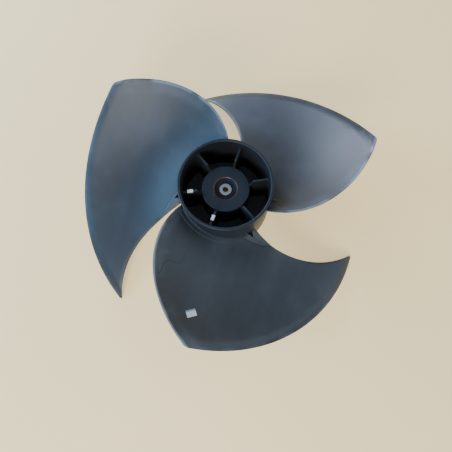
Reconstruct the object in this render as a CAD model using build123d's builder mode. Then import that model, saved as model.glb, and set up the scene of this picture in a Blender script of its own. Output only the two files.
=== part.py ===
# Three-bladed propeller fan of an air conditioner's outdoor unit, with its shaft bush, balance clips and label.
# Millimetres and degrees. +Z is the shaft axis, towards the air outlet, and the fan rests on its leading tips.
# The origin is the mouth of the shaft bore on the motor side. The first blade's leading tip is on +X, and
# angles along a blade run clockwise from that tip, as seen from the outlet.
import os
from math import cos, radians, sin

from build123d import *

os.makedirs("parts", exist_ok=True)

# Shaft bush
bore_diameter = 8.0
bush_diameter = 18.0
bush_length = 40.0
bush_proud = 1.0

# Hub ring and web
hub_radius = 69.4
hub_wall = 4.3
hub_front = 66.0
hub_rear = -25.5
web_rear = -14.0
web_thickness = 3.0

# Boss round the bush
boss_radius = 35.5
boss_face = 43.8
boss_wall = 4.0
recess_radius = 16.5
recess_depth = 8.0
recess_chamfer = 1.3
sleeve_wall = 4.5

# Ribs between the boss and the hub ring
rib_count = 6
rib_angle = 28.0
rib_thickness = 2.8
rib_top = 56.0
rib_rise = 6.0
rib_step = 1.0
rib_root_fillet = 5.0
rear_rib_depth = 8.0

# Blade outline from the front: how far round each edge lies at the hub and at the tip
blade_count = 3
tip_radius = 230.0
leading_root_angle = 32.3
leading_bow = 2.4
leading_skew = 1.2
trailing_tip_angle = 84.5
trailing_root_angle = 135.4
trailing_bow = 1.8
trailing_skew = -1.8
leading_tip_rounding = 3.0
trailing_tip_rounding = 14.0

# Blade heights on the outlet side, at its four corners and as bows along its four edges
leading_tip_height = -83.0
leading_root_height = 11.4
trailing_tip_height = 77.0
trailing_root_height = 61.5
leading_height_bow = -5.7
leading_height_skew = 13.0
trailing_height_bow = 9.9
tip_height_bow = -22.4
root_height_bow = -9.5

# Blade section: thickness along the axis and the bent-back lip along the tip
blade_root_thickness = 5.0
blade_tip_thickness = 3.0
lip_width = 12.0
lip_drop = 4.0

# Gusset at each leading root, hollowed beside the hub
gusset_reach = 34.0
gusset_root_angle = 51.0
gusset_height = 7.0
pocket_start_angle = 36.2
pocket_end_angle = 46.5
pocket_apex_angle = 38.8
pocket_depth = 9.5

# Balance clips, folded from sheet and pushed over two neighbouring ribs
clip_ribs = (3, 4)
clip_gap = 4.5
clip_length = 8.0
clip_leg = 8.0
clip_sheet = 0.9
clip_rounding = 0.6

# Label on the first blade
label_inset = 44.0
label_angle = 85.9
label_turn = 36.0
label_length = 12.5
label_width = 9.8
label_thickness = 0.2
label_glue = 0.05

# Places that follow from the sizes above
hub_bore_radius = hub_radius - hub_wall
root_radius = hub_radius - hub_wall / 2
web_front = web_rear + web_thickness
recess_floor = boss_face - recess_depth
sleeve_radius = bush_diameter / 2 + sleeve_wall
boss_bore_radius = boss_radius - boss_wall
recess_wall_radius = recess_radius + boss_wall
cut_height = hub_front - leading_tip_height + gusset_height
clip_radius = hub_bore_radius - rib_root_fillet - clip_gap - clip_length / 2
label_radius = tip_radius - label_inset
gusset_end = hub_radius + gusset_reach
chord_margin = 0.03
gusset_margin = 0.07
end_margin = 2.0
sheet_tolerance = 0.0001
span_steps = 11
chord_steps = 20
gusset_steps = 6


def bowed(start, end, bow, skew, share):
    """Straight run from start to end, bowed in its middle by bow and leaning by skew."""
    return start + (end - start) * share + 4 * share * (1 - share) * (bow + skew * (2 * share - 1))


def plan_point(radius, angle):
    """Point in plan at an angle clockwise from the leading tip."""
    return (radius * cos(radians(angle)), -radius * sin(radians(angle)))


def span_share(radius):
    """Share of the way from the hub to the tip."""
    return (radius - hub_radius) / (tip_radius - hub_radius)


def leading_angle(radius):
    return bowed(leading_root_angle, 0, leading_bow, leading_skew, span_share(radius))


def trailing_angle(radius):
    return bowed(trailing_root_angle, trailing_tip_angle, trailing_bow, trailing_skew, span_share(radius))


def outlet_height(radius, chord):
    """Height of the outlet side, blended from the blade's four edge curves."""
    span = span_share(radius)
    leading = bowed(leading_root_height, leading_tip_height, leading_height_bow, leading_height_skew, span)
    trailing = bowed(trailing_root_height, trailing_tip_height, trailing_height_bow, 0, span)
    root = bowed(leading_root_height, trailing_root_height, root_height_bow, 0, chord)
    tip = bowed(leading_tip_height, trailing_tip_height, tip_height_bow, 0, chord)
    root_chord = leading_root_height + (trailing_root_height - leading_root_height) * chord
    tip_chord = leading_tip_height + (trailing_tip_height - leading_tip_height) * chord
    between_edges = (1 - chord) * leading + chord * trailing
    between_ends = (1 - span) * (root - root_chord) + span * (tip - tip_chord)
    return between_edges + between_ends


def bend(radius):
    """How far the lip along the tip is bent back."""
    return lip_drop * max(0, 1 - (tip_radius - radius) / lip_width)


def front_height(radius, chord):
    return outlet_height(radius, chord) - bend(radius)


def back_height(radius, chord):
    thickness = bowed(blade_root_thickness, blade_tip_thickness, 0, 0, span_share(radius))
    return outlet_height(radius, chord) - thickness - bend(radius)


def gusset_seat(radius, chord):
    return outlet_height(radius, chord) - blade_tip_thickness / 2


def gusset_top(radius, chord):
    return front_height(radius, chord) + gusset_height * (1 - ((radius - hub_radius) / gusset_reach) ** 2)


def label_seat(radius, chord):
    return front_height(radius, chord) + label_glue


def label_top(radius, chord):
    return label_seat(radius, chord) + label_thickness


def axis_distance(shape):
    """How far a shape's middle lies from the shaft axis."""
    return Vector(shape.center().X, shape.center().Y).length


def steps(start, end, count):
    """Evenly spaced values from start to end."""
    return [start + (end - start) * i / count for i in range(count + 1)]


def blade_points(height, radius, margin):
    """Points across the blade at one radius, from edge to edge and a little past."""
    lead = leading_angle(radius)
    sweep = trailing_angle(radius) - lead
    chords = steps(-margin, 1 + margin, chord_steps)
    return [(*plan_point(radius, lead + sweep * chord), height(radius, chord)) for chord in chords]


def blade_sheet(height, radii, margin=chord_margin):
    """Face through the blade's points at a height given by radius and chord share."""
    rows = [blade_points(height, radius, margin) for radius in radii]
    return Face.make_surface_from_array_of_points(rows, tol=sheet_tolerance, min_deg=3)


def layer(bottom, top):
    """Solid between two faces whose edges match."""
    walls = [Face.make_surface_from_curves(low, high) for low, high in zip(bottom.edges(), top.edges())]
    return Solid(Shell([bottom, top, *walls]))


# Blade outline in plan, from inside the hub ring to the tip
with BuildSketch() as planform:
    with BuildLine():
        outline_radii = steps(root_radius, tip_radius, 6)
        Spline(*[plan_point(radius, leading_angle(radius)) for radius in outline_radii])
        Spline(*[plan_point(radius, trailing_angle(radius)) for radius in outline_radii])
        CenterArc((0, 0), tip_radius, 0, -trailing_tip_angle)
        root_sweep = trailing_angle(root_radius) - leading_angle(root_radius)
        CenterArc((0, 0), root_radius, -leading_angle(root_radius), -root_sweep)
    make_face()
    tip_corners = planform.vertices().sort_by_distance((0, 0))[2:]
    fillet(tip_corners.sort_by(Axis.X)[-1], leading_tip_rounding)
    tip_corners = planform.vertices().sort_by_distance((0, 0))[2:]
    fillet(tip_corners.sort_by(Axis.X)[0], trailing_tip_rounding)

# Gusset: a wedge on the outlet side along the leading root, open beside the hub
with BuildSketch() as gusset_plan:
    ahead_angle = leading_root_angle - (gusset_root_angle - leading_root_angle)
    with BuildLine():
        Polyline(
            plan_point(root_radius, gusset_root_angle),
            plan_point(gusset_end, leading_angle(gusset_end)),
            plan_point(gusset_end, ahead_angle),
            plan_point(root_radius, ahead_angle),
            close=True,
        )
    make_face()
    with BuildLine():
        Polyline(
            plan_point(root_radius, pocket_start_angle),
            plan_point(hub_radius + pocket_depth, pocket_apex_angle),
            plan_point(root_radius, pocket_end_angle),
            close=True,
        )
    make_face(mode=Mode.SUBTRACT)

with BuildPart() as gusset:
    gusset_radii = steps(root_radius - end_margin, gusset_end + end_margin, gusset_steps)
    gusset_sheets = [blade_sheet(height, gusset_radii, gusset_margin) for height in (gusset_seat, gusset_top)]
    add(layer(*gusset_sheets))
    extrude(gusset_plan.sketch, amount=cut_height, both=True, mode=Mode.INTERSECT)

# Blade: a twisted sheet from inside the hub ring, with a straight strip for the lip
blade_radii = steps(root_radius - end_margin, tip_radius - lip_width, span_steps)
back_sheet = blade_sheet(back_height, blade_radii)
front_sheet = blade_sheet(front_height, blade_radii)
lip_faces = []
for sheet, height in ((back_sheet, back_height), (front_sheet, front_height)):
    lip_root = max(sheet.edges(), key=axis_distance)
    lip_end = Edge.make_spline(blade_points(height, tip_radius + end_margin, chord_margin))
    lip_faces.append(Face.make_surface_from_curves(lip_root, lip_end))
with BuildPart() as blade:
    add(layer(back_sheet, front_sheet))
    add(layer(*lip_faces))
    add(gusset.part)
    extrude(planform.sketch, amount=cut_height, both=True, mode=Mode.INTERSECT)

# Propeller: hub ring, web, boss and sleeve turned as one section, then the ribs and the blades
with BuildPart() as propeller:
    with BuildSketch(Plane.XZ) as hub_section:
        with BuildLine():
            Polyline(
                (hub_radius, hub_front),
                (hub_radius, hub_rear),
                (hub_bore_radius, hub_rear),
                (hub_bore_radius, web_rear),
                (boss_bore_radius, web_rear),
                (boss_bore_radius, boss_face - boss_wall),
                (recess_wall_radius, boss_face - boss_wall),
                (recess_wall_radius, recess_floor - boss_wall),
                (sleeve_radius, recess_floor - boss_wall),
                (sleeve_radius, bush_proud),
                (bush_diameter / 2, bush_proud),
                (bush_diameter / 2, recess_floor),
                (recess_radius, recess_floor),
                (recess_radius, boss_face - recess_chamfer),
                (recess_radius + recess_chamfer, boss_face),
                (boss_radius, boss_face),
                (boss_radius, web_front),
                (hub_bore_radius, web_front),
                (hub_bore_radius, hub_front),
                close=True,
            )
        make_face()
    revolve(axis=Axis.Z)
    with BuildSketch(Plane.XZ) as rib_section:
        boss_middle = boss_radius - boss_wall / 2
        with BuildLine():
            Polyline(
                (boss_middle, boss_face - rib_step),
                (boss_radius, boss_face - rib_step),
                (boss_radius + rib_rise, rib_top),
                (root_radius, rib_top),
                (root_radius, web_rear - rear_rib_depth),
                (boss_middle, web_rear),
                (sleeve_radius - sleeve_wall / 2, bush_proud),
                (sleeve_radius - sleeve_wall / 2, recess_floor - boss_wall / 2),
                (recess_wall_radius - boss_wall / 2, recess_floor - boss_wall / 2),
                (recess_wall_radius - boss_wall / 2, boss_face - boss_wall / 2),
                (boss_middle, boss_face - boss_wall / 2),
                close=True,
            )
        make_face()
    rib = extrude(rib_section.sketch, amount=rib_thickness / 2, both=True, mode=Mode.PRIVATE)
    with PolarLocations(0, rib_count, rib_angle):
        add(rib)
    rib_ends = propeller.edges().filter_by(Axis.Z).filter_by(lambda edge: edge.center().Z > web_front)
    rib_ends = rib_ends.filter_by(lambda edge: axis_distance(edge) > boss_radius + rib_rise)
    fillet(rib_ends, rib_root_fillet)
    with PolarLocations(0, blade_count):
        add(blade.part)

with BuildPart() as shaft_bush:
    Cylinder(bush_diameter / 2, bush_length, align=(Align.CENTER, Align.CENTER, Align.MIN))
    Hole(bore_diameter / 2)

with BuildPart() as label:
    add(layer(blade_sheet(label_seat, blade_radii), blade_sheet(label_top, blade_radii)))
    with BuildSketch() as label_plan:
        with Locations(Location((*plan_point(label_radius, label_angle), 0), (0, 0, label_turn))):
            Rectangle(label_length, label_width)
    extrude(amount=cut_height, both=True, mode=Mode.INTERSECT)

# Clips: a channel folded over the rib's top edge
clips = []
for rib_index in clip_ribs:
    outward = Vector(1, 0, 0).rotate(Axis.Z, rib_angle + 360 / rib_count * rib_index)
    inner_end = Plane(outward * (clip_radius - clip_length / 2), outward.rotate(Axis.Z, 90), outward)
    with BuildPart() as clip:
        with BuildSketch(inner_end) as clip_section:
            with Locations((0, rib_top + clip_sheet)):
                Rectangle(rib_thickness + 2 * clip_sheet, clip_leg + clip_sheet, align=(Align.CENTER, Align.MAX))
            with Locations((0, rib_top)):
                Rectangle(rib_thickness, clip_leg, align=(Align.CENTER, Align.MAX), mode=Mode.SUBTRACT)
            fillet(clip_section.vertices().group_by(Axis.Y)[-1], clip_rounding)
        extrude(amount=clip_length)
    clips.append(clip)

pieces = {"propeller": propeller, "shaft_bush": shaft_bush, "label": label}
pieces |= {f"balance_clip_{number}": clip for number, clip in enumerate(clips, start=1)}
for name, piece in pieces.items():
    piece.part.label = name
    export_step(piece.part, f"parts/{name}.step")
    print(name, round(piece.part.volume), "cubic mm")
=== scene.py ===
# %% [markdown]
# Outdoor-unit fan. The part is a three-bladed moulded fan that lies on a floor, outlet side up. Its solids
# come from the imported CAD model. This lesson gives them rounded edges, finishes, light and a camera.

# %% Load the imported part
import math

import bpy
from mathutils import Matrix, Vector


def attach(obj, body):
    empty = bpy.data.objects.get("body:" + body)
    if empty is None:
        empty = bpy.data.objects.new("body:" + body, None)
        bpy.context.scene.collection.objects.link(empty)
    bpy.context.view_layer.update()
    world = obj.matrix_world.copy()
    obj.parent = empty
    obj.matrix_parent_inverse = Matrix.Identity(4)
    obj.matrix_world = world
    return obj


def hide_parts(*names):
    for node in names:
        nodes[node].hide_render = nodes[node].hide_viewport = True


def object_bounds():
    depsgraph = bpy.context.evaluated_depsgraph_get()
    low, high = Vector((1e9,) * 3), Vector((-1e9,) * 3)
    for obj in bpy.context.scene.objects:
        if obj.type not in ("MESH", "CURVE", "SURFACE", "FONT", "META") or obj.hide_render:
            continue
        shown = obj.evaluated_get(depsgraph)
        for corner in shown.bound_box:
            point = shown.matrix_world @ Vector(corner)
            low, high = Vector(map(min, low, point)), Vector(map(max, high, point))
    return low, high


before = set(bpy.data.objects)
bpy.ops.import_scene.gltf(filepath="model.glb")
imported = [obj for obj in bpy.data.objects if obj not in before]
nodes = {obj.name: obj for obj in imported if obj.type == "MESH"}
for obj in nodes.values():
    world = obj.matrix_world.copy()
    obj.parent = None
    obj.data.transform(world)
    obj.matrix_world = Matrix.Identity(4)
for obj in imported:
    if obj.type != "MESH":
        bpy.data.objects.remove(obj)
cad_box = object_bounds()
MM = 0.001
print("nodes:", sorted(nodes), "box:", cad_box)

# %% [markdown]
# A finish is a node tree, and long trees are hard to read. A small class wraps a socket, so that sums on masks
# are written as plain Python and each sum adds its own Math node. One method makes every other kind of node.


# %% Sockets that can be added and multiplied
class Value:
    def __init__(self, finish, socket):
        self.finish = finish
        self.socket = socket

    def math(self, operation, *others):
        return self.finish.node("Math", {"operation": operation}, self, *others)

    def __add__(self, other):
        return self.math("ADD", other)

    def __sub__(self, other):
        return self.math("SUBTRACT", other)

    def __mul__(self, other):
        return self.math("MULTIPLY", other)

    def __rsub__(self, other):
        return self.finish.node("Math", {"operation": "SUBTRACT"}, other, self)

    __radd__ = __add__
    __rmul__ = __mul__

    def ramp(self, start, end):
        """Smooth step from 0 at start to 1 at end, either way round."""
        return self.finish.node("MapRange", {"interpolation_type": "SMOOTHSTEP"}, self, start, end)

    def band(self, low, high, soft):
        """One between two values, with soft ends."""
        return self.ramp(low - soft, low + soft) * self.ramp(high + soft, high - soft)


class Finish:
    def __init__(self, name):
        self.material = bpy.data.materials.new(name)
        self.material.use_nodes = True
        self.tree = self.material.node_tree
        self.surface = self.tree.nodes["Principled BSDF"]
        self.place = self.node("TexCoord", {}, output="Object")
        self.x = self.node("SeparateXYZ", {}, self.place, output="X")
        self.y = self.node("SeparateXYZ", {}, self.place, output="Y")
        self.z = self.node("SeparateXYZ", {}, self.place, output="Z")
        self.radius = self.vector("LENGTH", self.vector("MULTIPLY", self.place, (1, 1, 0)), output="Value")

    def node(self, kind, settings, *inputs, output=0, **named):
        """Add a shader node, set it up, then fill its sockets with numbers or links."""
        made = self.tree.nodes.new("ShaderNode" + kind)
        for name, setting in settings.items():
            setattr(made, name, setting)
        for key, value in [*enumerate(inputs), *named.items()]:
            self.fill(made.inputs[key], value)
        return Value(self, made.outputs[output])

    def vector(self, operation, *inputs, output="Vector"):
        return self.node("VectorMath", {"operation": operation}, *inputs, output=output)

    def noise(self, scale, detail, stretch=(1, 1, 1)):
        """Noise between 0 and 1, with a grain that can be longer one way."""
        place = self.vector("MULTIPLY", self.place, stretch)
        return self.node("TexNoise", {}, place, Scale=scale, Detail=detail)

    def mix(self, share, low, high):
        """Blend two colours."""
        blend = self.node("Mix", {"data_type": "RGBA"}, share, output=2)
        for index, colour in ((6, low), (7, high)):
            self.fill(blend.socket.node.inputs[index], colour)
        return blend

    def line_distance(self, points):
        """Distance in plan from a run of straight strokes, with heights counted a fifth."""
        flat = Vector((1, 1, 0.2))
        here = self.vector("MULTIPLY", self.place, flat)
        nearest = None
        for start, end in zip(points, points[1:]):
            foot = Vector(start) * flat * MM
            stroke = Vector(end) * flat * MM - foot
            offset = self.vector("SUBTRACT", here, foot)
            along = self.vector("DOT_PRODUCT", offset, stroke / stroke.length_squared, output="Value")
            along = along.math("MAXIMUM", 0).math("MINIMUM", 1)
            across = self.vector("SUBTRACT", offset, self.vector("MULTIPLY", along, stroke))
            away = self.vector("LENGTH", across, output="Value")
            nearest = nearest.math("MINIMUM", away) if nearest else away
        return nearest

    def fill(self, socket, value):
        if isinstance(value, Value):
            self.tree.links.new(value.socket, socket)
        else:
            socket.default_value = value

    def set(self, **inputs):
        """Fill the surface shader's sockets, written with underscores for spaces."""
        for name, value in inputs.items():
            self.fill(self.surface.inputs[name.replace("_", " ")], value)


print("shader helpers ready")

# %% [markdown]
# The moulding. Injection-moulded plastic has no sharp edges, and its blades read as one smooth sweep. The CAD
# mesh is loose triangles, so a copy is merged into one skin. The turned circles of the hub and the boss are
# picked by radius and height, and bevelled. The same is done for the mouth and the rim of the metal bush.


# %% Rounded copies of the CAD solids
def only(piece):
    """Select one object and make it active."""
    bpy.ops.object.select_all(action="DESELECT")
    piece.select_set(True)
    bpy.context.view_layer.objects.active = piece


def merged_copy(node_name, piece_name):
    """Copy a CAD node as one closed skin."""
    only(nodes[node_name])
    bpy.ops.object.duplicate()
    piece = bpy.context.object
    piece.name = piece_name
    bpy.ops.object.mode_set(mode="EDIT")
    bpy.ops.mesh.select_all(action="SELECT")
    bpy.ops.mesh.remove_doubles(threshold=0.02 * MM)
    bpy.ops.mesh.customdata_custom_splitnormals_clear()
    bpy.ops.mesh.select_mode(type="EDGE")
    bpy.ops.mesh.select_all(action="DESELECT")
    bpy.ops.object.mode_set(mode="OBJECT")
    return piece


def round_circle(piece, radius, height, width):
    """Bevel the edges that lie on one turned circle."""
    only(piece)
    points = piece.data.vertices
    near = [abs(p.co.xy.length - radius) + abs(p.co.z - height) < 0.1 * MM for p in points]
    picked = 0
    for edge in piece.data.edges:
        edge.select = near[edge.vertices[0]] and near[edge.vertices[1]]
        picked += edge.select
    bpy.ops.object.mode_set(mode="EDIT")
    bpy.ops.mesh.bevel(offset=width, segments=3, affect="EDGES", clamp_overlap=True)
    bpy.ops.mesh.select_all(action="DESELECT")
    bpy.ops.object.mode_set(mode="OBJECT")
    print(piece.name, "circle", round(radius / MM, 1), "mm:", picked, "edges")


propeller = merged_copy("propeller", "propeller_moulding")
hub_radius = 69.4 * MM
hub_bore = 65.1 * MM
hub_ends = (66 * MM, -25.5 * MM)
for hub_end in hub_ends:
    round_circle(propeller, hub_radius, hub_end, 1.0 * MM)
    round_circle(propeller, hub_bore, hub_end, 0.8 * MM)
boss_radius = 35.5 * MM
boss_face = 43.8 * MM
round_circle(propeller, boss_radius, boss_face, 0.8 * MM)
bush = merged_copy("shaft_bush", "turned_bush")
bush_radius = 9 * MM
bore_radius = 4 * MM
bush_face = 40 * MM
round_circle(bush, bush_radius, bush_face, 0.5 * MM)
round_circle(bush, bore_radius, bush_face, 0.6 * MM)

# %% [markdown]
# The outline of a moulded blade is rounded too, because two halves of a mould meet there. Its edges aren't on a
# circle, so they are picked by how sharply their two faces meet, outside the hub. A small bevel rounds them.

# %% Rounded blade outlines
outline_rounding = 0.9 * MM
blade_start = 76 * MM
sharp_from = math.radians(50)
only(propeller)
bpy.ops.object.mode_set(mode="EDIT")
bpy.ops.mesh.edges_select_sharp(sharpness=sharp_from)
bpy.ops.object.mode_set(mode="OBJECT")
points = [point.co for point in propeller.data.vertices]
for edge in propeller.data.edges:
    ends = [points[index].xy.length for index in edge.vertices]
    edge.select = edge.select and min(ends) > blade_start
bpy.ops.object.mode_set(mode="EDIT")
bpy.ops.mesh.bevel(offset=outline_rounding, segments=2, affect="EDGES", clamp_overlap=False)
bpy.ops.mesh.select_all(action="DESELECT")
bpy.ops.object.mode_set(mode="OBJECT")
smooth_below = math.radians(35)
for piece in (propeller, bush):
    only(piece)
    bpy.ops.object.shade_smooth_by_angle(angle=smooth_below)
print("moulding:", len(propeller.data.polygons), "faces; bush:", len(bush.data.polygons), "faces")

# %% [markdown]
# Wear and painted highlight follow the blade: its trailing edge and its tip are rubbed and carry a painted
# highlight.
# Each point of the moulding is told how far it lies across the blade, from 0 at the leading edge to 1 at the
# trailing edge, and the finish reads that number. The two edges are the bowed curves, in degrees round the
# shaft, that the blade was designed with.


# %% Place across the blade
tip_radius = 230 * MM
blade_pitch = 120
lead_in = 4


def bowed(start, end, bow, skew, share):
    """Straight run from start to end, bowed in its middle and leaning by skew."""
    return start + (end - start) * share + 4 * share * (1 - share) * (bow + skew * (2 * share - 1))


def chord_share(point):
    """Share of the way from the leading edge to the trailing edge."""
    span = (point.xy.length - hub_radius) / (tip_radius - hub_radius)
    leading = bowed(32.3, 0, 2.4, 1.2, span)
    trailing = bowed(135.4, 84.5, 1.8, -1.8, span)
    round_angle = -math.degrees(math.atan2(point.y, point.x))
    return ((round_angle - leading + lead_in) % blade_pitch - lead_in) / (trailing - leading)


chord = propeller.data.attributes.new("chord", "FLOAT", "POINT")
chord.data.foreach_set("value", [chord_share(point.co) for point in propeller.data.vertices])
print("chord shares from", round(min(item.value for item in chord.data), 2))

# %% [markdown]
# Root fillets. A moulded blade runs into its hub with a hollow fillet, which shows as a pale line. The front
# root line of each blade is copied first: its edges lie on the hub and belong to a face that looks up.

# %% Copy the blade roots
fillet_start = 0.20
fillet_end = 0.96
looks_up = 0.25
mesh = propeller.data
on_hub = [abs(point.co.xy.length - hub_radius) < 0.05 * MM for point in mesh.vertices]
front_edges = set()
for polygon in mesh.polygons:
    if polygon.normal.z > looks_up and polygon.center.xy.length > hub_radius:
        front_edges.update(polygon.edge_keys)
only(propeller)
bpy.ops.object.mode_set(mode="EDIT")
bpy.ops.mesh.select_all(action="DESELECT")
bpy.ops.object.mode_set(mode="OBJECT")
for edge in mesh.edges:
    first, second = edge.vertices
    shares = [chord_share(mesh.vertices[index].co) for index in edge.vertices]
    inside = fillet_start < min(shares) and max(shares) < fillet_end
    edge.select = on_hub[first] and on_hub[second] and edge.key in front_edges and inside
bpy.ops.object.mode_set(mode="EDIT")
bpy.ops.mesh.duplicate()
bpy.ops.mesh.separate(type="SELECTED")
bpy.ops.object.mode_set(mode="OBJECT")
fillets = [item for item in bpy.context.selected_objects if item is not propeller][0]
fillets.name = "root_fillets"
root_points = len(fillets.data.vertices)
print("root points:", root_points)

# %% [markdown]
# The copied line is pulled up the hub wall, and once more outwards, to a line above the blade. That second line
# is later dropped on the blade, so that the strip follows the twisted surface.

# %% Pull the roots into strips
fillet_rise = 3.4 * MM
fillet_reach = 7.5 * MM
lift = 15 * MM
only(fillets)
bpy.ops.object.mode_set(mode="EDIT")
bpy.ops.mesh.select_all(action="SELECT")
bpy.ops.mesh.extrude_edges_move(TRANSFORM_OT_translate={"value": (0, 0, fillet_rise)})
bpy.ops.mesh.select_all(action="DESELECT")
bpy.ops.object.mode_set(mode="OBJECT")
for edge in fillets.data.edges:
    edge.select = max(edge.vertices) < root_points
bpy.ops.object.mode_set(mode="EDIT")
bpy.ops.mesh.extrude_edges_move(TRANSFORM_OT_translate={"value": (0, 0, lift)})
widening = 1 + fillet_reach / hub_radius
bpy.ops.transform.resize(value=(widening, widening, 1), center_override=(0, 0, 0))
foot = fillets.vertex_groups.new(name="foot")
bpy.ops.object.vertex_group_assign()
bpy.ops.object.mode_set(mode="OBJECT")
print("strip faces:", len(fillets.data.polygons))

# %% [markdown]
# Shrinkwrap drops the outer line, subdivision bends the strip into a hollow, and Solidify closes it downwards,
# into the moulding, so that it is a solid body with no open edge.

# %% Hollow and close the strips
fillet_wall = 1.2 * MM
drop = fillets.modifiers.new("drop", "SHRINKWRAP")
drop.wrap_method = "PROJECT"
drop.use_project_z = True
drop.use_positive_direction = False
drop.use_negative_direction = True
drop.target = propeller
drop.vertex_group = foot.name
smooth = fillets.modifiers.new("smooth", "SUBSURF")
smooth.levels = 2
smooth.render_levels = 2
for modifier in (drop, smooth):
    bpy.ops.object.modifier_apply(modifier=modifier.name)
backing = fillets.modifiers.new("backing", "SOLIDIFY")
backing.thickness = fillet_wall
backing.offset = -1
bpy.ops.object.modifier_apply(modifier=backing.name)
bpy.ops.object.shade_smooth_by_angle(angle=smooth_below)
print("fillets:", len(fillets.data.polygons), "faces")

# %% [markdown]
# Black plastic. The resin is satin and a little blue, with a fine grain from the mould. Where a rounded edge
# turns, the shading normal leaves the face normal, so their difference marks the edges, which are painted pale:
# partly handling wear, partly painted highlight. Dust lies in soft clouds, and wiping leaves faint streaks. The
# gusset tops carry painted light, and a painted shadow lines their step. Inside the hub the pockets are painted
# near black as shade, and their deep floors that face up are painted pale as light.

# %% Satin black plastic
plastic = Finish("satin_black_plastic")
grain = plastic.noise(900, 3)
clouds = plastic.noise(11, 5)
patches = plastic.noise(34, 4)
streaks = plastic.noise(60, 3, (1, 0.12, 0.4))
across = plastic.node("Attribute", {"attribute_name": "chord"}, output="Fac")
on_blade = plastic.radius.ramp(70.5 * MM, 74 * MM)
rounded = plastic.node("Bevel", {"samples": 8}, 1.4 * MM)
face = plastic.node("NewGeometry", {}, output="True Normal")
# Rounded edges and root lines are painted pale: partly rubbed wear, partly painted highlight.
edge = plastic.vector("DOT_PRODUCT", rounded, face, output="Value").ramp(0.995, 0.80)
# The tip lip and the trailing edge are painted pale: partly rubbed wear, partly painted highlight.
lip_bend = plastic.radius.ramp(217 * MM, 219.5 * MM)
lip_edge = plastic.radius.ramp(225 * MM, 228 * MM)
lip = 0.10 * lip_bend + 0.6 * lip_edge
trailing_rub_and_highlight = (0.45 * across.ramp(0.90, 0.96) + 1.2 * across.ramp(0.978, 0.99)) * on_blade
gusset_width = 0.181
gusset_reach = 34 * MM
gusset_share = across + (plastic.radius - hub_radius) * (gusset_width / gusset_reach)
# Painted light: the gusset tops are painted paler. The dark band beside their step is painted shadow.
gusset_painted_light = gusset_share.ramp(0.186, 0.176) * on_blade * across.ramp(-0.03, -0.01)
gusset_step_shadow = gusset_share.band(0.186, 0.202, 0.004) * plastic.radius.band(71 * MM, 98 * MM, 1 * MM)
dust = clouds.ramp(0.42, 0.72)
# Edge, lip and trailing-edge paleness: partly wear, partly painted highlight.
rub_and_highlight = edge * (0.30 + 1.1 * patches) * (0.25 + 0.75 * on_blade)
rub_and_highlight = rub_and_highlight + (lip + trailing_rub_and_highlight) * patches.ramp(0.30, 0.70)
# Painted shade: the pockets between the ribs and the hub's inner lining are painted near black.
shaded_pocket = plastic.radius.band(36 * MM, 64.8 * MM, 0.3 * MM) * plastic.z.ramp(55.8 * MM, 54 * MM)
hub_lining = plastic.radius.band(62 * MM, 65.3 * MM, 0.2 * MM) * plastic.z.ramp(65.5 * MM, 63 * MM)
shaded_pocket = shaded_pocket.math("MAXIMUM", hub_lining)
paleness = 0.30 * dust + 0.10 * grain + 0.07 * streaks.ramp(0.45, 0.75) * on_blade + rub_and_highlight + 0.45 * gusset_painted_light
clean_black = (0.013, 0.019, 0.027, 1)
worn_and_highlight_grey = (0.076, 0.094, 0.122, 1)
resin = plastic.mix(paleness * (1 - shaded_pocket) * (0.45 + 0.55 * on_blade), clean_black, worn_and_highlight_grey)
# Painted light: the deep pocket floors that face up are painted pale.
facing_up = plastic.vector("DOT_PRODUCT", face, (0, 0, 1), output="Value").ramp(0.5, 0.9)
pocket_floor_light = shaded_pocket * plastic.z.ramp(42 * MM, 8 * MM) * facing_up
# Painted shade in the pockets, then painted light on their deep floors that face up.
resin = plastic.mix(shaded_pocket, resin, (0.003, 0.003, 0.004, 1))
resin = plastic.mix(pocket_floor_light, resin, (0.220, 0.205, 0.225, 1))
# Painted shadow along the gusset step.
resin = plastic.mix(gusset_step_shadow * 0.6, resin, (0.006, 0.008, 0.010, 1))
print("plastic nodes so far:", len(plastic.tree.nodes))

# %% [markdown]
# Marks. A band of red paint runs round the mouth of the boss and is thin in places. The lower blade has a
# dark, wavy hairline and a smudge. They are drawn by distance from a few points. Its trailing edge is scuffed
# and carries a painted highlight.

# %% Paint and marks
ring = plastic.radius.band(16.6 * MM, 17.9 * MM, 0.25 * MM) * plastic.z.ramp(42.0 * MM, 42.6 * MM)
ring_left = (plastic.x * 0.5 + plastic.y * 0.87).ramp(16 * MM, -16 * MM)
paint = ring * (0.5 + 0.5 * ring_left) * patches.ramp(0.25, 0.55)
speck = plastic.line_distance([(-13.5, -14.5, 43.8), (-14.2, -15.0, 43.8)]).ramp(0.9 * MM, 0.4 * MM)
resin = plastic.mix(paint.math("MAXIMUM", speck * 0.7), resin, (0.24, 0.034, 0.028, 1))
hairline = [(-23, -110, 43), (-23, -119, 45), (-26, -127, 50), (-32, -128, 54), (-37, -127, 58)]
hairline += [(-42, -132, 64), (-43, -136, 66), (-42, -146, 70), (-43, -151, 73)]
crack = plastic.line_distance(hairline).ramp(0.95 * MM, 0.35 * MM)
smudge = plastic.line_distance([(-46, -119, 64.5), (-50, -122, 67)]).ramp(6 * MM, 1 * MM)
resin = plastic.mix(smudge * patches * 0.5, resin, (0.10, 0.11, 0.125, 1))
# The trailing edge is partly scuffed and partly painted with a highlight.
scuff_and_highlight = across.ramp(0.978, 0.990) * on_blade * patches.ramp(0.38, 0.62)
resin = plastic.mix(scuff_and_highlight * 0.5, resin, (0.24, 0.29, 0.36, 1))
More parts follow.
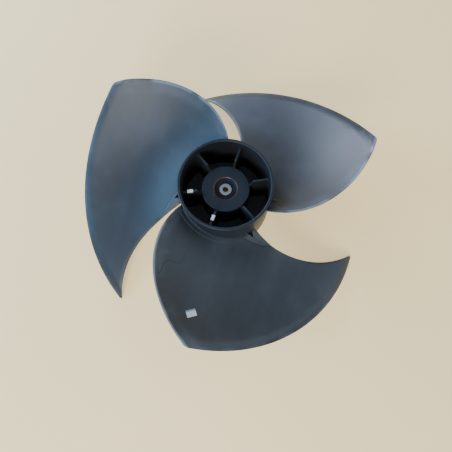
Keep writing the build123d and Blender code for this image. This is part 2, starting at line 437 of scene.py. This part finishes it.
# Painted highlight: a pale line along the lower blade's trailing edge, where its rounded edge catches light.
painted_edge_highlight = across.ramp(0.984, 0.994) * on_blade * plastic.y.ramp(-60 * MM, -120 * MM)
resin = plastic.mix(painted_edge_highlight * 0.8, resin, (0.34, 0.40, 0.48, 1))
resin = plastic.mix(crack * 0.95, resin, (0.006, 0.007, 0.009, 1))
bump = plastic.node("Bump", {}, Strength=0.08, Distance=0.2 * MM, Height=grain, Normal=rounded)
plastic.set(Base_Color=resin, Roughness=0.38 + 0.14 * clouds + 0.45 * shaded_pocket, Normal=bump, IOR=1.5)
print("plastic nodes:", len(plastic.tree.nodes))

# %% [markdown]
# The bush is turned steel: the tool leaves fine rings on its end, and the bore is coloured a darker brown-grey
# and less metallic. The balance clips are bright tinned spring steel, with painted shade on their lower legs.

# %% Turned steel and tinned clips
steel = Finish("turned_steel")
rings = (steel.radius * (9 / MM)).math("SINE")
# The bore is darker, browner and less metallic.
bore_darkening = steel.radius.ramp(4.9 * MM, 4.3 * MM)
rim_paint = steel.radius.ramp(7.8 * MM, 8.6 * MM) * (steel.x * 0.5 + steel.y * 0.87).ramp(-4 * MM, -8 * MM)
metal = steel.mix(bore_darkening, (0.60, 0.66, 0.70, 1), (0.17, 0.15, 0.125, 1))
metal = steel.mix(rim_paint * 0.6, metal, (0.30, 0.04, 0.03, 1))
turning = steel.node("Bump", {}, Strength=0.15, Distance=0.05 * MM, Height=rings)
steel_roughness = 0.34 + 0.10 * steel.noise(300, 2)
steel.set(Base_Color=metal, Metallic=1 - 0.7 * bore_darkening, Roughness=steel_roughness, Normal=turning)
tin = Finish("tinned_spring_steel")
tin_wear = tin.noise(220, 3)
tin_colour = tin.mix(tin_wear, (0.97, 0.98, 1.0, 1), (0.84, 0.86, 0.88, 1))
# Painted shade: the clips' legs below the rib tops are painted dark.
tin_colour = tin.mix(tin.z.ramp(54.5 * MM, 56 * MM), (0.10, 0.11, 0.12, 1), tin_colour)
tin.set(Base_Color=tin_colour, Metallic=0.25, Roughness=0.30 + 0.15 * tin_wear)
print("metal finishes:", steel.material.name, tin.material.name)

# %% [markdown]
# The label is a small white sticker. It is left without words: a pale blue strip along its top edge and rows
# of grey bars stand for the print. Its own long and short directions are turned 36 degrees from the frame.

# %% White label with bars
paper = Finish("white_label")
turn = math.radians(36)
label_middle = Vector((13.1, -185.7)) * MM
label_x = paper.x - label_middle.x
label_y = paper.y - label_middle.y
from_left = label_x * math.cos(turn) + label_y * math.sin(turn)
from_bottom = label_y * math.cos(turn) - label_x * math.sin(turn)
strip = from_bottom.ramp(2.3 * MM, 2.5 * MM)
rows = (from_bottom * (2 * math.pi / (1.7 * MM))).math("SINE").ramp(0.1, 0.5)
words = paper.noise(420, 1).ramp(0.38, 0.46) * from_left.band(-5.2 * MM, 5.0 * MM, 0.2 * MM)
print_area = from_bottom.band(-4.0 * MM, 1.8 * MM, 0.2 * MM)
sheet_colour = paper.mix(rows * words * print_area * 0.35, (1.0, 1.0, 1.0, 1), (0.30, 0.33, 0.37, 1))
sheet_colour = paper.mix(strip, sheet_colour, (0.28, 0.46, 0.68, 1))
paper.set(Base_Color=sheet_colour, Roughness=0.50)
print("label nodes:", len(paper.tree.nodes))

# %% [markdown]
# Each piece now gets its finish. A new piece also gets the body that it rides on, and a rounded copy stands for
# the CAD solid that it was made from.


# %% Put the finishes on
def dress(piece, finish, slot_name, *stands_for):
    """Give a piece its finish and its place in the part."""
    piece.data.materials.clear()
    piece.data.materials.append(finish.material)
    if stands_for:
        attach(piece, "root")
        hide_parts(*stands_for)


dress(propeller, plastic, "propeller_plastic", "propeller")
dress(bush, steel, "bush_metal", "shaft_bush")
dress(fillets, plastic, "propeller_plastic")
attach(fillets, "root")
for name in ("balance_clip_1", "balance_clip_2"):
    dress(nodes[name], tin, "clip_metal")
dress(nodes["label"], paper, "label_paper")
dress(nodes["propeller"], plastic, "propeller_plastic")
dress(nodes["shaft_bush"], steel, "bush_metal")
print("finishes on", len(nodes), "nodes")

# %% [markdown]
# The floor is a plain pale sheet. The fan stands on its three leading tips, so the floor is at the part's
# lowest point. A faint glow keeps it as bright as a sunlit floor without more light on the fan.

# %% Floor
bpy.ops.object.select_all(action="DESELECT")
floor_height = cad_box[0][2]
bpy.ops.mesh.primitive_plane_add(size=6, location=(0, 0, floor_height))
bpy.ops.object.transform_apply()
floor = bpy.context.object
floor.name = "floor"
bpy.ops.object.mode_set(mode="EDIT")
bpy.ops.mesh.subdivide(number_cuts=3)
bpy.ops.object.mode_set(mode="OBJECT")
sheet = Finish("pale_floor")
sheet.set(Base_Color=(1.0, 0.74, 0.36, 1), Roughness=0.8)
sheet.set(Emission_Color=(1.0, 0.76, 0.38, 1), Emission_Strength=0.68)
floor.data.materials.append(sheet.material)
print("floor at", round(floor_height / MM, 1), "mm")

# %% [markdown]
# Light. The room is bright and even, with a large soft source on the left that draws a pale sheen on the two
# upper blades and leaves the lower one dark.


# %% Soft lights
def soft_light(name, place, aim, size, power, tint):
    bpy.ops.object.light_add(type="AREA", location=place)
    lamp = bpy.context.object
    lamp.name = name
    lamp.data.shape = "DISK"
    lamp.data.size = size
    lamp.data.energy = power
    lamp.data.color = tint
    lamp.rotation_euler = (Vector(aim) - Vector(place)).to_track_quat("-Z", "Y").to_euler()


soft_light("window", (-1.9, -0.6, 1.1), (0, 0, 0), 1.8, 58, (0.28, 0.60, 1.0))
soft_light("doorway", (-1.5, 1.25, 0.33), (0, 0, 0), 0.9, 44, (0.68, 0.79, 1.0))
soft_light("lamp", (-0.05, -1.8, 1.2), (0, 0, 0), 0.9, 34, (0.93, 0.96, 1.0))
soft_light("far_wall", (2.1, 1.1, 1.0), (0, 0, 0), 1.8, 19, (0.64, 0.82, 1.0))
world = bpy.data.worlds.new("room")
world.use_nodes = True
world.node_tree.nodes["Background"].inputs["Color"].default_value = (0.82, 0.88, 0.98, 1)
world.node_tree.nodes["Background"].inputs["Strength"].default_value = 0.32
bpy.context.scene.world = world

# %% [markdown]
# The camera looks down on the fan from above its lower blade, as someone standing over it would, and is held
# a little askew.

# %% Camera
eye = Vector((63.4, -201.6, 629.5)) * MM
aim = Vector((18.4, -53.1, 40.0)) * MM
lean = 1.65
bpy.ops.object.camera_add(location=eye)
camera = bpy.context.object
look = (aim - eye).to_track_quat("-Z", "Y").to_matrix()
camera.rotation_euler = (look @ Matrix.Rotation(math.radians(lean), 3, "Z")).to_euler()
camera.data.lens = 33.6
camera.data.clip_start = 0.01
bpy.context.scene.camera = camera
print("camera is", round((aim - eye).length / MM), "mm from its aim")
